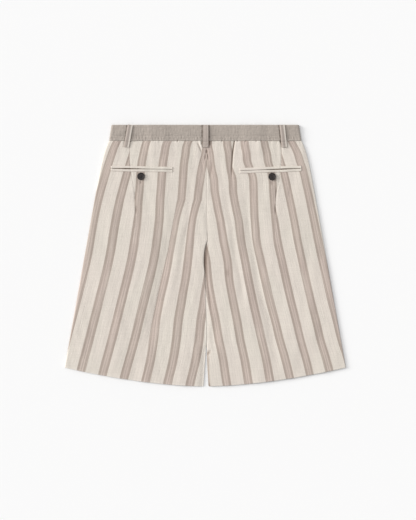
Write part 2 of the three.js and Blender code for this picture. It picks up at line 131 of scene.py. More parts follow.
# Folds and darts of the back, a row each. Along each at heights y: where it runs, how much cloth it
# hides and how deep it is. Shape is trough, step or seam, soft is its half width to the left and to the
# right, and slip is the half width of the strip in which the hidden cloth goes out of sight
FOLDS = {"left": (
    dict(shape="seam", slip=0.5, soft=(4.0, 4.0), y=(20, 72, 112, 132, 156, 188, 204, 232),
         x=(-134, -139, -142, -142, -146, -150.5, -150.5, -151),
         hidden=(0, 1.2, 6, 8.8, 14, 20, 21.5, 25), depth=(0, 0.1, 0.2, 0.2, 0.2, 0.3, 0.3, 0.3)),
    dict(shape="trough", slip=1.6, soft=(18.0, 13.0),
         y=(-250, -208, -168, -128, -88, -48, -8, 12, 32, 72, 92, 112),
         x=(-140, -130, -117, -107, -98, -90, -80, -75, -71.5, -64, -60, -57),
         hidden=(0, 2, 7, 12, 14, 14.5, 16, 16, 15, 12, 7, 0),
         depth=(0.5, 0.9, 1.4, 1.8, 2.0, 2.0, 1.9, 1.7, 1.4, 0.9, 0.5, 0)),
    dict(shape="trough", slip=7.0, soft=(8.0, 6.0),
         y=(-100, -48, -8, 32, 52, 72, 92, 112, 156, 172, 188, 204, 230),
         x=(-60, -54, -48, -42, -39, -36, -34, -32, -28, -26, -24, -22, -20),
         hidden=(0, 3, 5, 8, 10, 11, 11.5, 12, 8.6, 7, 4.5, 2, 0),
         depth=(0, 0.5, 1.0, 1.3, 1.4, 1.3, 1.1, 0.9, 0.6, 0.5, 0.4, 0.3, 0.3)),
), "right": (
    dict(shape="seam", slip=0.5, soft=(4.0, 4.0), y=(20, 72, 112, 132, 156, 188, 204, 220, 232),
         x=(138, 140, 141, 144, 148, 152, 152, 151.5, 151),
         hidden=(0, 3, 8, 11, 15, 17, 20, 23.6, 28.5), depth=(0, 0.1, 0.2, 0.2, 0.2, 0.4, 0.4, 0.4, 0.4)),
    dict(shape="step", slip=0.5, soft=(1.6, 2.6), y=(84, 112, 130, 156, 172, 188, 204, 232),
         x=(66, 58, 55, 53, 53, 54, 55, 59), hidden=(0, 0, 0, 0, 2.6, 6.7, 6.9, 7),
         depth=(0, 0, 0.1, 0.4, 1.2, 1.9, 2.0, 1.9)),
    dict(shape="trough", slip=4.0, soft=(11.0, 9.0),
         y=(-250, -208, -168, -128, -88, -48, -8, 32, 52, 72, 92, 112, 132, 152),
         x=(150, 142, 133, 125, 113, 104, 96, 89.5, 86, 83.5, 82, 80, 78, 76),
         hidden=(2, 4.5, 6.5, 7.5, 9, 10, 11.5, 12.5, 11, 9.9, 6, 2.6, 0, 0),
         depth=(0.5, 0.9, 1.2, 1.6, 1.9, 2.0, 1.9, 1.7, 1.5, 1.2, 0.8, 0.5, 0.2, 0)),
    dict(shape="trough", slip=6.0, soft=(7.0, 7.0),
         y=(-168, -128, -88, -48, -8, 32, 72, 112, 156, 188, 232),
         x=(86, 81, 75.5, 69.5, 61.5, 55.5, 49.5, 41.5, 33.5, 28, 24),
         hidden=(0, 2.4, 3.4, 4.5, 8, 8, 5.4, 5.6, 4.6, 3.2, 3),
         depth=(0, 0.3, 0.6, 1.1, 1.3, 1.3, 1.1, 0.8, 0.4, 0.3, 0.2)),
    dict(shape="trough", slip=10.0, soft=(9.0, 9.0),
         y=(72, 92, 112, 132, 156, 172, 188, 212, 232),
         x=(116, 116, 116, 115, 114, 113, 113, 112, 112), hidden=(0, 1, 2, 3, 3.4, 1.0, 0, 1, 3.2),
         depth=(0, 0.1, 0.2, 0.3, 0.3, 0.2, 0.1, 0, 0)),
    dict(shape="trough", slip=30.0, soft=(30.0, 30.0), y=(-250, 232), x=(215, 160),
         hidden=(5.2, 4), depth=(0.2, 0.2)),
)}

# The cloth's own coordinate, counted in from the side seam, in millimetres. Along heights y: how far
# the first stripe's middle lies inside the seam, and how much cloth lies in a millimetre of leg
STRIPE_LAY = {
    "left": dict(
        y=(-250, -208, -168, -128, -88, -8, 72, 112, 132, 156, 188, 204, 220, 232),
        first=(-12.4, -9, -5.8, -2.6, 0.6, 6, 5.9, 7.9, 10, 12.3, 15.5, 16.9, 17.8, 18.2),
        ease=(0.98, 0.975, 0.97, 0.975, 0.98, 0.985, 1, 1.02, 1.03, 1.03, 1.04, 1.05, 1.065, 1.065),
    ),
    "right": dict(
        y=(-250, -208, -168, -128, -88, -8, 32, 52, 72, 132, 172, 188, 204, 220, 232),
        first=(-10.4, -6.6, -1, 1.8, 5.2, 9.7, 11, 11.8, 12.4, 14.6, 16.6, 19, 20, 22.4, 24),
        ease=(1.01, 1.02, 1.03, 1.03, 1.03, 1.035, 1.03, 1.045, 1.055, *[1.06] * 6),
    ),
}

# Small creases: x and y of the middle, length, half width, turn from the Y axis in degrees, and height
CREASES = {"left": (
    (-139.8, 119, 24, 1.3, 3, -1.2),
    (-144, 132, 16, 1.8, 12, 0.6),
    (-137.5, 92, 22, 2, -2, -1.2),
    (-128.5, 147, 11, 2.6, 0, -1),
    (-11.4, 217, 30, 1.4, 23, -1.5),
    (-8.8, 222, 22, 1.6, 20, 1),
    (-7, 226, 12, 1.4, 0, -1.5),
    (0.2, 198, 16, 1.1, -4, -1.8),
    (2.2, 209, 10, 1.3, 0, -2),
    (-150.2, 206, 44, 1.4, 0, 0.5),
    (-91.5, -60, 130, 1.1, -10.7, -0.5),
    (-5, 176, 40, 2.6, 6, -0.7),
    (-40, 62, 60, 4, -14, 0.6),
    (-190, 60, 90, 8, -8, 0.9),
    (-215, -90, 120, 10, -9, 0.9),
    (-60, -150, 110, 9, -6, 0.9),
    (-170, -120, 140, 11, -10, 1),
), "right": (
    (141.5, 124, 30, 1.3, -3, -1.2),
    (147, 136, 16, 1.8, -12, 0.6),
    (140.5, 93, 24, 2, 3, -1.4),
    (169, 128, 22, 3, 4, -0.7),
    (133.5, 146, 11, 2.6, 0, -1),
    (5.6, 198, 16, 1.1, 4, -1.8),
    (4, 209, 10, 1.3, 0, -2),
    (8.8, 225, 12, 1.5, 0, -2),
    (5.9, -62, 124, 1.6, 8.2, -1.5),
    (12, 172, 46, 2.8, -8, -0.8),
    (45.5, -34, 22, 4, 8, -0.8),
    (30, 90, 70, 5, 12, 0.6),
    (190, 20, 120, 9, 9, 0.9),
    (214, -120, 120, 10, 10, 1),
    (62, -170, 110, 9, 8, 0.9),
    (16, -168, 76, 8, 4, -1.1),
    (5.5, -194, 18, 3.4, -50, -1.9),
)}

# Uneven relief of the back cloth: height, how much it is drawn out along Y, wave length and seed. The
# gathers fade out below the waistband, over the last number
GATHERS = ((0.34, 0.08, 9.0, 11, 14.0), (0.5, 0.12, 24.0, 12, 45.0))
SLOW_WAVES = ((0.5, 0.45, 60.0, 21), (0.22, 0.35, 20.0, 31))

# Waistband
BAND_CLOTH = 3.0
BAND_REST = 4.2
BAND_WRAP = 2.2
BAND_GATHERED = 1.25
BAND_STEP = 0.62
FRONT_BAND_CLOTH = 2.4
FRONT_BAND_INSET = 5.9
FRONT_BAND_STEP = 3.0
CHANNEL_UP = 10.2

# Belt loops: where each runs, its width, how far it stands off, where in the cloth its middle was cut and
# how deep the lines are on its two sides, which also carry painted shade
LOOP_WIDTH = 11.6
LOOP_LENGTH = 45.0
LOOP_CLOTH = 1.4
LOOP_CROWN = 0.2
LOOP_SEWN = 0.3
FRONT_LOOP_CLOTH = 1.16
FOLDED_WALL = 0.36
BACK_LOOPS = (
    dict(name="left", top=-149.3, foot=-157.3, width=10.4, rise=0.45, cut=6.9, dark=(0.7, 0.1)),
    dict(name="centre", top=1.0, foot=1.0, width=11.4, rise=0.9, cut=-0.8, dark=(1.0, 1.0)),
    dict(name="right", top=153.4, foot=158.6, width=10.4, rise=0.5, cut=6.6, dark=(1.0, 0.2)),
)
FRONT_LOOPS = (
    dict(name="left", x=-FRONT_LOOP_X, cut=2.0),
    dict(name="right", x=FRONT_LOOP_X, cut=-3.0),
)
LOOP_DOWN = (0.4, 4, 10, 18, 26, 31.5, 35, 39, 42, 45)
LOOP_RISE = (0.3, 0.6, 1.4, 1.7, 1.4, 0.7, 1.6, 0.8, 0.45, 0.45)

# Welt pockets
LIP_HEIGHT = 4.6
LIP_CLOTH = 0.9
LIP_CUT = 22.0
LIP_SEAT = 3.2
POCKETS = {
    "left": dict(x=-126.7, y=173.8, length=124.0, tilt=-0.96, open_at=-0.22),
    "right": dict(x=130.5, y=172.6, length=124.0, tilt=2.1, open_at=0.2),
}
POCKET_REACH = 61.0
SLIT = 1.05
SLIT_OPEN = 1.3

# Buttons
BUTTON_RADIUS = 7.6
BUTTON_HEIGHT = 2.8
RIM_RISE = 1.0
THREAD_RISE = 1.85
HOLE_OFF = 1.45
HOLE_RADIUS = 0.95
BUTTONS = {"left": (-128.3, 159.0), "right": (133.5, 158.4)}

# Shares of red, green and blue that painted shade takes away at full strength, and two faint tints between
# which the striped linen wanders
PAINTED_SHADE_LOSS = (0.56, 0.62, 0.66)
FAINT_TINTS = ((0.993, 1.0, 0.992), (1.006, 0.998, 1.0))

# Shares of the stripe, the waistband and the ground in the belt loops' colour, and of it in their borders
WASHED = (0.45, 0.32, 0.14)
WASHED_BORDER = 0.76

# In a stripe, in metres: where its border lies inside its edge, and a second fine line from its middle
BORDER = (0.0052, 0.0040)
SECOND_LINE = 0.0034

# Tacks: half the width of a loop's and how far down it lies, half the height of a pocket's and how far in
BAR_TACK_HALF = 4.6
BAR_TACK_DOWN = 43.2
END_TACK_HALF = 4.4
END_TACK_IN = 1.2

# Floor, camera straight above, and lights: name, strength, spread, and tilt about X and Y in degrees
FLOOR_HALF = 6.0
CAMERA_AT = (0.0055, -0.008, 3.0)
LENS = 103.85
SENSOR = 36
SKY_COLOUR = (0.985, 0.99, 1.0, 1)
SKY_STRENGTH = 0.60
LIGHT_COLOUR = (1.0, 0.99, 0.975)
LIGHTS = (
    ("key", 0.72, 22, -17.5, -37.4),
    ("side", 2.42, 24, -14.5, -68.0),
)


def length_property(name, description, default):
    """A length that the user can change, in metres."""
    return bpy.props.FloatProperty(name=name, description=description, default=default, unit="LENGTH")


class ShortsSizes(bpy.types.PropertyGroup):
    """Sizes that a maker would change."""

    cloth: length_property("Cloth", "Thickness of the striped cloth", 0.0009)
    stripe_repeat: length_property("Stripe repeat", "From one stripe to the next", 0.044)
    stripe_width: length_property("Stripe width", "Width of one stripe", 0.0178)
    thread_pitch: length_property("Thread pitch", "From one yarn to the next", 0.0009)
    grid: length_property("Grid", "Spacing of the panels' grid", 0.002)
    stitch: length_property("Stitch", "Length of one stitch", 0.0026)


def colour_property(name, description, default):
    """A colour that the user can change, as linear red, green and blue."""
    return bpy.props.FloatVectorProperty(
        name=name, description=description, default=default, size=3, min=0, max=1, subtype="COLOR"
    )


class ShortsColours(bpy.types.PropertyGroup):
    """Colours of the cloth and trims."""

    ground: colour_property("Ground", "Cream ground of the cloth", (0.718, 0.654, 0.585))
    stripe: colour_property("Stripe", "Middle of a stripe", (0.562, 0.469, 0.415))
    border: colour_property("Stripe border", "Darker edge of a stripe", (0.424, 0.350, 0.301))
    band: colour_property("Waistband", "Waistband cloth", (0.412, 0.360, 0.316))
    button: colour_property("Button", "Button", (0.026, 0.019, 0.017))
    thread: colour_property("Thread", "Sewing thread", (0.70, 0.635, 0.56))
    floor: colour_property("Floor", "Surface that the shorts lie on", (0.92, 0.92, 0.92))


def sizes():
    """The sizes that are set."""
    return bpy.context.scene.shorts_sizes


def colours():
    """The colours that are set."""
    return bpy.context.scene.shorts_colours


# Curves and outline


def ramp(t):
    """Zero before 0 and one after 1, smooth between."""
    t = np.clip(t, 0, 1)
    return t * t * (3 - 2 * t)


def bell(off, width):
    """A bell: one in its middle, and 1 / e at its width to either side."""
    return np.exp(-((off / width) ** 2))


def fuller(value, power):
    """A cosine or sine with its size raised to a power, which rounds a ring out or squares it."""
    return np.sign(value) * np.abs(value) ** power


def unit(vectors):
    """Vectors made one long."""
    return vectors / np.linalg.norm(vectors, axis=-1, keepdims=True)


def xyz(x, y, z):
    """Points from their three coordinates."""
    return np.stack(np.broadcast_arrays(x, y, z), axis=-1)


def through(knots, values, at):
    """A smooth curve through points: cubic pieces, each knot's slope taken from its two neighbours."""
    knots, values = np.asarray(knots, float), np.asarray(values, float)
    slope = np.gradient(values)
    slope[1:-1] = (values[2:] - values[:-2]) / (knots[2:] - knots[:-2])
    slope[0] = (values[1] - values[0]) / (knots[1] - knots[0])
    slope[-1] = (values[-1] - values[-2]) / (knots[-1] - knots[-2])
    k = np.clip(np.searchsorted(knots, at) - 1, 0, len(knots) - 2)
    step = knots[k + 1] - knots[k]
    t = np.clip((at - knots[k]) / step, 0, 1)
    rise, m0, m1 = values[k + 1] - values[k], slope[k] * step, slope[k + 1] * step
    return values[k] + m0 * t + (3 * rise - 2 * m0 - m1) * t**2 + (m0 + m1 - 2 * rise) * t**3


def side_edge(y):
    """Half the garment's width at y: a straight seam drawn in by a curve that fades out at the hip."""
    down = BAND_FOOT - y
    return BAND_FOOT_HALF + HIP_ROUND + SIDE_SLOPE * down - HIP_ROUND * np.exp(-down / HIP_FADE)


def hem_y(x):
    """The hem's curve: lowest in the middle, rising by a power of the distance from it."""
    return -HEM_FOOT + HEM_RISE * (np.abs(x) / HEM_HALF) ** HEM_POWER


def inner_edge(leg, y):
    """The panel's edge towards the middle: the centre seam above the crotch, the inner leg below it."""
    seam = SEAM_FOOT_X + (SEAM_TOP_X - SEAM_FOOT_X) * (y - CROTCH_Y) / (BAND_FOOT - CROTCH_Y)
    seam = seam + LEGS[leg] * SEAM_GAP / 2
    return np.where(y < CROTCH_Y, through(INSEAM_Y, INSEAM_X[leg], y), seam)


def row_y(row, x):
    """Where a level row of the grid comes to lie: as it is above the crotch, drawn up with the hem below."""
    share = (CROTCH_Y - row) / (CROTCH_Y + HALF_LENGTH)
    return np.where(row > CROTCH_Y, row, CROTCH_Y + (hem_y(x) - CROTCH_Y) * share)


def loop_lift(x, y):
    """How far cloth rises over a front belt loop: flat over it, fading out beside and below it."""
    beside = np.abs(np.abs(x) - FRONT_LOOP_X) - LIFT_FLAT
    return LOOP_LIFT * (1 - ramp(beside / LIFT_REACH)) * (1 - ramp((LIFT_FOOT - y) / LIFT_REACH))


def waves(x, y, length, seed, count=14):
    """Soft uneven relief between about -1 and 1: a sum of plane waves of random direction and phase."""
    random = np.random.default_rng(seed)
    turns = random.uniform(0, 2 * np.pi, count)
    phases = random.uniform(0, 2 * np.pi, count)
    scales = random.uniform(0.6, 1.6, count)
    total = np.zeros(np.broadcast(x, y).shape)
    for turn, phase, scale in zip(turns, phases, scales):
        along = x * np.cos(turn) + y * np.sin(turn)
        total += np.sin(2 * np.pi * along / (length * scale) + phase)
    return total / np.sqrt(2 * count)


# Height of the back cloth


def fold_relief(fold, x, y):
    """Height that a fold adds. A trough is a dip, each side a bell of its own width, with a low shoulder
    beyond its right side. A step is a groove with a ridge to its right that dies away. A seam is a
    narrow dip between two rounded edges."""
    off = x - through(fold["y"], fold["x"], y)
    depth = np.interp(y, fold["y"], fold["depth"], left=0, right=fold["depth"][-1])
    left, right = fold["soft"]
    if fold["shape"] == "trough":
        dip = bell(off, np.where(off < 0, left, right))
        return 0.8 * depth * (0.12 * bell(off - 1.9 * right, 1.2 * right) - dip)
    if fold["shape"] == "step":
        ridge = 0.45 * ramp(off / right) * np.exp(-np.clip(off, 0, None) / (5 * right))
        return depth * (ridge - bell(off, left))
    edges = 0.25 * bell(np.abs(off) / left - 0.9, 0.5)
    return depth * (edges - bell(off, 0.3 * left))


def turned(x, y, middle_x, middle_y, degrees):
    """Place across and along in axes that are turned about a middle."""
    turn = math.radians(degrees)
    dx, dy = x - middle_x, y - middle_y
    return dx * math.cos(turn) + dy * math.sin(turn), dy * math.cos(turn) - dx * math.sin(turn)


def crease_relief(crease, x, y):
    """Height that a small crease adds: a rounded ridge or dip that tapers to both ends."""
    middle_x, middle_y, length, soft, turn, rise = crease
    across, along = turned(x, y, middle_x, middle_y, turn)
    taper = np.clip(1 - (along / (length / 2)) ** 2, 0, 1) ** 1.5
    return rise * taper * bell(across, soft)


def beside_loops(x, y):
    """From 0 to 1 in a narrow broken line along the sides of each back belt loop, zero elsewhere."""
    total = 0
    for loop in BACK_LOOPS:
        middle = loop["top"] + (loop["foot"] - loop["top"]) * (HALF_LENGTH - y) / LOOP_LENGTH
        for sign, dark in zip((-1, 1), loop["dark"]):
            off = sign * (x - middle) - loop["width"] / 2 - 0.7
            total += dark * bell(off, 1.4)
    broken = np.clip(0.85 + 0.5 * waves(0 * x + 3, y, 16.0, 51), 0.3, 1)
    return total * broken * ramp((y - HALF_LENGTH + LOOP_LENGTH + 2) / 4)


def overlap(y):
    """One where the left leg's inner edge lies over the right leg's, fading out below and at the crotch."""
    return ramp((y - OVERLAP_FOOT) / 22) * ramp((CROTCH_Y - 3 - y) / 16)


def hollow(y):
    """One just below the crotch, where the two legs stand apart in height, fading out both ways."""
    return bell(y + 3, 30)


def pocket_place(side, x, y):
    """Place along and across a pocket's slit, in millimetres from its middle."""
    pocket = POCKETS[side]
    return turned(x, y, pocket["x"], pocket["y"], pocket["tilt"])


def at_pocket(side, along, across):
    """The reverse of pocket_place: x and y of a place along and across a pocket's slit."""
    pocket = POCKETS[side]
    x, y = turned(along, across, 0, 0, -pocket["tilt"])
    return pocket["x"] + x, pocket["y"] + y


def band_pits(x):
    """Above 0 where the band's seam pulls the cloth in, in uneven places along it."""
    return waves(x, 0 * x, 7.0, 15)


def back_height(leg, x, y):
    """Height of the middle of the back cloth: the layer below, a puff across the leg, folds and creases,
    gathers under the waistband, slow waves, a dip along the pocket's slit and along the centre seam."""
    inner = inner_edge(leg, y)
    side = LEGS[leg]
    share = np.clip((x - inner) / (side * side_edge(y) - inner), 0, 1)
    height = BACK_REST + PUFF * np.sqrt(np.sin(np.pi * share))
    height = height + sum(fold_relief(fold, x, y) for fold in FOLDS[leg])
    height = height + sum(crease_relief(crease, x, y) for crease in CREASES[leg])
    below_band = np.clip(BAND_FOOT - y, 0, None)
    relief = -PIT_DEPTH * ramp(band_pits(x) - 0.3) * bell(below_band, 2.6)
    for rise, squash, length, seed, fade in GATHERS:
        relief = relief + rise * waves(x, y * squash, length, seed) * np.exp(-below_band / fade)
    for rise, squash, length, seed in SLOW_WAVES:
        relief = relief + rise * waves(x, y * squash, length, seed + side)
    lift = CROTCH_LIFT[leg] * bell(y - 9.5, 45.0) * bell(share, 0.14)
    seam_dip = np.exp(-((x - inner) * side) / 1.6) * ramp((y - CROTCH_Y + 10) / 20)
    along, across = pocket_place(leg, x, y)
    slit = SLIT_DEPTH * bell(across, 1.5) * ramp((POCKET_REACH - np.abs(along)) / 3)
    edge_calm = ramp(share / 0.03) * ramp((1 - share) / 0.03)
    height = height + relief * edge_calm + lift - slit
    height = height - SEAM_DIP * seam_dip - LOOP_DENT * beside_loops(x, y)
    return np.maximum(height, BACK_LOWEST) + loop_lift(x, y)


def painted_shading_at(leg, x, y):
    """Painted shade and highlight of a back panel. Above 0 where shade is painted darker: along the step
    fold, the dart seams and the troughs, in narrow creases, in the pocket's slit, beside the loops, in pits
    under the waistband, and on the right leg where it runs in under the left one, as a painted shadow of the
    left leg's edge. Below 0 where highlight is painted paler: on sharp ridges, along the waistband's seam,
    and along the outer, hem and inner edges."""
    side = LEGS[leg]
    along, across = pocket_place(leg, x, y)
    gape = 0.78 + 0.22 * bell(along / POCKETS[leg]["length"] - POCKETS[leg]["open_at"], 0.25)
    # Painted shade in the pocket's slit, strongest where it gapes
    total = gape * bell(across, 1.6) * ramp((POCKET_REACH - np.abs(along)) / 3)
    total += PAINTED_SHADE["loops"] * beside_loops(x, y)
    below_band = np.clip(BAND_FOOT - y, 0, None)
    # Painted shade in the pits under the waistband, painted highlight along the rest of its seam
    total += (0.6 * ramp(band_pits(x) - 0.1) - 0.25) * bell(below_band, 1.5)
    # Painted shade along the folds and in the crease dips, painted highlight on the narrow crease ridges
    for fold in FOLDS[leg]:
        off = x - through(fold["y"], fold["x"], y)
        depth = np.interp(y, fold["y"], fold["depth"], left=0)
        line = bell(off + 0.3, 1.7)
        if fold["shape"] == "trough":
            left, right = fold["soft"]
            line = np.exp(-((off / np.where(off < 0, 0.95 * left, 0.3 * right)) ** 4))
        total += PAINTED_SHADE[fold["shape"]] * depth * line
    for crease in CREASES[leg]:
        soft, rise = crease[3], crease[5]
        if (rise < -0.7 and soft <= 4) or (rise > 0 and soft < 1.7):
            total -= PAINTED_SHADE["crease"] * crease_relief(crease, x, y)
    # Painted highlight along the outer edge and the hem
    total -= PAINTED_HIGHLIGHT[leg] * bell(side_edge(y) - side * x, 2.0)
    total -= PAINTED_HIGHLIGHT["hem"] * bell(y - hem_y(x), 2.0)
    from_inner = x - inner_edge("left", y)
    below = ramp((-20 - y) / 30)
    # Painted highlight along the left leg's inner edge
    if leg == "left":
        edge_highlight = PAINTED_HIGHLIGHT["inner"] * below + PAINTED_HIGHLIGHT["inner foot"] * ramp((-140 - y) / 40)
        return np.clip(total - edge_highlight * bell(from_inner, 2.2), PALEST, 1)
    # Painted shadow where the right leg runs in under the left one's raised edge, and painted highlight on
    # the strip beside that edge
    shade = (1 - ramp((from_inner - 5.0) / 4.5)) * hollow(0.9 * y + 3) * overlap(y)
    total += PAINTED_SHADE["under"] * shade
    total -= PAINTED_HIGHLIGHT["under"] * below * ramp((y + 186) / 14) * bell(from_inner - 1.0, 2.2)
    # A darker line along the right leg's inner edge near the hem, and a darker spot at the hem's inner corner
    edge = x - inner_edge("right", y)
    line = PAINTED_SHADE["under"] * ramp((-188 - y) / 20) * bell(edge - 1.4, 2.1)
    corner = bell(y - hem_y(x), 3.5) * bell(edge - 1.4, 3.2)
    return np.clip(total + line, PALEST, 1) + 0.4 * corner


def cloth_across(leg, x, y):
    """The cloth's own coordinate across a leg, in millimetres, zero at the middle of the first stripe:
    the distance in from the side seam, eased, with the cloth that each fold and dart hides added."""
    lay, side = STRIPE_LAY[leg], LEGS[leg]
    inward = side_edge(y) - side * x
    across = inward * through(lay["y"], lay["ease"], y) - through(lay["y"], lay["first"], y)
    for fold in FOLDS[leg]:
        line = through(fold["y"], fold["x"], y)
        hidden = np.clip(through(fold["y"], fold["hidden"], y), 0, None)
        passed = side * (line - x) / fold["slip"]
        across = across + hidden * (0.5 + 0.5 * np.tanh(1.1 * passed))
    return across


# Meshes


def quad_mesh(name, flat, quads, across, along, caps=(), painted_shading=None):
    """A mesh of quads and end caps, with the cloth's coordinates in its UV map, shaded smooth. The painted
    shade and highlight is kept in an attribute."""
    mesh = bpy.data.meshes.new(name)
    faces = quads.tolist() + [list(cap) for cap in caps]
    mesh.from_pydata(flat.tolist(), [], faces)
    mesh.polygons.foreach_set("use_smooth", np.ones(len(faces), bool))
    corners = np.empty(len(mesh.loops), int)
    mesh.loops.foreach_get("vertex_index", corners)
    cloth = np.stack([np.asarray(across).ravel(), np.asarray(along).ravel()], axis=-1) * MM
    mesh.uv_layers.new(name="cloth").data.foreach_set("uv", cloth[corners].ravel())
    if painted_shading is not None:
        mesh.attributes.new("painted_shading", "FLOAT", "POINT").data.foreach_set("value", np.ravel(painted_shading))
    mesh.update()
    return mesh


def grid_mesh(name, points, across, along, painted_shading=None, closed=False, up=None):
    """A mesh from a grid of points in millimetres. Closed rows run round a body that has a flat cap on
    both ends. Others stay open between their last point and their first, as sheets and folded strips
    do. Faces are turned so that on the whole they look up, or down, or else outwards by the sign of the
    volume that they enclose."""
    rows, columns = points.shape[:2]
    index = np.arange(rows * columns).reshape(rows, columns)
    after = np.roll(index, -1, axis=1)
    quads = np.stack([index[:-1], after[:-1], after[1:], index[1:]], axis=-1)
    quads = (quads if closed else quads[:, :-1]).reshape(-1, 4)
    caps = [index[0][::-1], index[-1]] if closed else []
    flat = points.reshape(-1, 3) * MM
    a, b, c = (flat[quads[:, k]] - flat.mean(axis=0) for k in (0, 1, 2))
    if up is None:
        outwards = np.einsum("ij,ij->i", a, np.cross(b, c)).sum() > 0
    else:
        outwards = (np.cross(b - a, c - a)[:, 2].sum() > 0) == up
    if not outwards:
        quads = quads[:, ::-1]
        caps = [cap[::-1] for cap in caps]
    return quad_mesh(name, flat, quads, across, along, caps, painted_shading)


def add_object(name, data):
    """A new object in the scene, at the origin."""
    one = bpy.data.objects.new(name, data)
    bpy.context.scene.collection.objects.link(one)
    return one


def place(name, mesh, finish):
    """An object for the mesh, on the part's one body."""
    piece = add_object(name, mesh)
    mesh.materials.append(finish)
    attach(piece, BODY)
    return piece


def thicken(piece, thickness, even=True):
    """Gives a sheet its wall, half to each side."""
    wall = piece.modifiers.new("cloth wall", "SOLIDIFY")
    wall.thickness = thickness
    wall.offset = 0
    wall.use_even_offset = even


def normals(points):
    """Unit normals of a grid of points: the cross product of its two directions, turned up."""
    across = np.gradient(points, axis=1)
    down = np.gradient(points, axis=0)
    normal = np.cross(across, down)
    return unit(normal * np.sign(normal[..., 2].mean()))


# Materials


class Nodes:
    """A short way to write a material's node tree."""

    def __init__(self, name):
        self.material = bpy.data.materials.new(name)
        self.material.use_nodes = True
        self.tree = self.material.node_tree
        self.tree.nodes.clear()
        self.shader = self.new("BsdfPrincipled")
        self.put(self.new("OutputMaterial").inputs["Surface"], self.shader.outputs[0])

    def new(self, kind, *values):
        """A new node of a kind, with values for its first sockets."""
        node = self.tree.nodes.new("ShaderNode" + kind)
        for socket, value in zip(node.inputs, values):
            self.put(socket, value)
        return node

    def put(self, target, value):
        """Links a socket or sets a plain value."""
        if isinstance(value, bpy.types.NodeSocket):
            self.tree.links.new(value, target)
        elif target.type == "RGBA":
            target.default_value = (*value, 1)
        else:
            target.default_value = value

    def math(self, operation, *values):
        """One Math node."""
        node = self.new("Math", *values)
        node.operation = operation
        return node.outputs[0]

    def total(self, base, *parts):
        """A base plus each value times its share."""
        for value, share in parts:
            base = self.math("ADD", base, self.math("MULTIPLY", value, share))
        return base

    def between(self, value, low, high):
        """Zero at low and one at high, smooth between."""
        node = self.new("MapRange", value, low, high, 0.0, 1.0)
        node.interpolation_type = "SMOOTHSTEP"
        return node.outputs[0]

    def mix(self, factor, first, second, blend="MIX"):
        """One colour Mix node."""
        node = self.new("Mix", factor)
        node.data_type = "RGBA"
        node.blend_type = blend
        self.put(node.inputs[6], first)
        self.put(node.inputs[7], second)
        return node.outputs[2]

    def noise(self, vector, scale=1.0, detail=2.0):
        """Noise between 0 and 1."""
        node = self.new("TexNoise", vector)
        self.put(node.inputs["Scale"], scale)
        self.put(node.inputs["Detail"], detail)
        return node.outputs["Fac"]

    def grain(self, vector, scale, detail=2.0):
        """Noise with its own scale along each axis."""
        node = self.new("Mapping", vector)
        node.inputs["Scale"].default_value = scale
        return self.noise(node.outputs[0], 1.0, detail)

    def cloth(self):
        """The cloth's own coordinates: across and along, in metres."""
        node = self.new("UVMap")
        node.uv_map = "cloth"
        split = self.new("SeparateXYZ", node.outputs[0])
        return node.outputs[0], split.outputs[0], split.outputs[1]

    def with_painted_shade(self, colour, tone):
        """A colour times a tone, with painted shade: darker and browner where the painted shading attribute
        is above 0, and paler, a painted highlight, where it is below 0.
        """
        node = self.new("Attribute")
        node.attribute_name = "painted_shading"
        factor = self.new("CombineColor")
        for socket, share in zip(factor.inputs, PAINTED_SHADE_LOSS):
            kept = self.math("SUBTRACT", 1.0, self.math("MULTIPLY", node.outputs["Fac"], share))
            self.put(socket, self.math("MULTIPLY", tone, kept))
        return self.mix(1.0, colour, factor.outputs[0], "MULTIPLY")

    def bump(self, height, distance, strength, after=None):
        """A Bump node, added to the one before it."""
        node = self.new("Bump")
        for name, value in (("Height", height), ("Distance", distance), ("Strength", strength)):
            self.put(node.inputs[name], value)
        if after is not None:
            self.put(node.inputs["Normal"], after)
        return node.outputs[0]

    def finish(self, colour, roughness, bump=None, sheen=0.0):
        """Sets the shader and gives the material."""
        self.put(self.shader.inputs["Base Color"], colour)
        self.put(self.shader.inputs["Roughness"], roughness)
        self.shader.inputs["Sheen Weight"].default_value = sheen
        self.shader.inputs["Sheen Roughness"].default_value = 0.6
        if bump is not None:
            self.put(self.shader.inputs["Normal"], bump)
        return self.material


def material(name, build, *values):
    """The material of a name, built the first time that it is asked for."""
    return bpy.data.materials.get(name) or build(Nodes(name), *values)


def weave(nodes, vector, across, along, pitch):
    """Plain weave as a height: ribs of warp and weft that pass over each other in turn, with slubs where
    a yarn swells. It is a product of two waves, plus long thin noise along each set of yarns."""
    turn = math.pi / pitch
    warp = nodes.math("SINE", nodes.math("MULTIPLY", across, turn))
    weft = nodes.math("SINE", nodes.math("MULTIPLY", along, turn))
    over = nodes.math("MULTIPLY", warp, weft)
    slubs = nodes.math("ADD", nodes.grain(vector, (900, 40, 1)), nodes.grain(vector, (45, 800, 1)))
    return over, slubs


def loop_cloth():
    """The belt loops' linen: as the panels', with its stripes washed towards the waistband's colour."""
    shade = colours()
    washed = np.array(WASHED) @ np.array((shade.stripe, shade.band, shade.ground))
    return material("loop_linen", striped, list(washed), list(WASHED_BORDER * washed))


def striped_cloth():
    """The panels' and pocket lips' linen."""
    return material("striped_linen", striped, colours().stripe, colours().border)


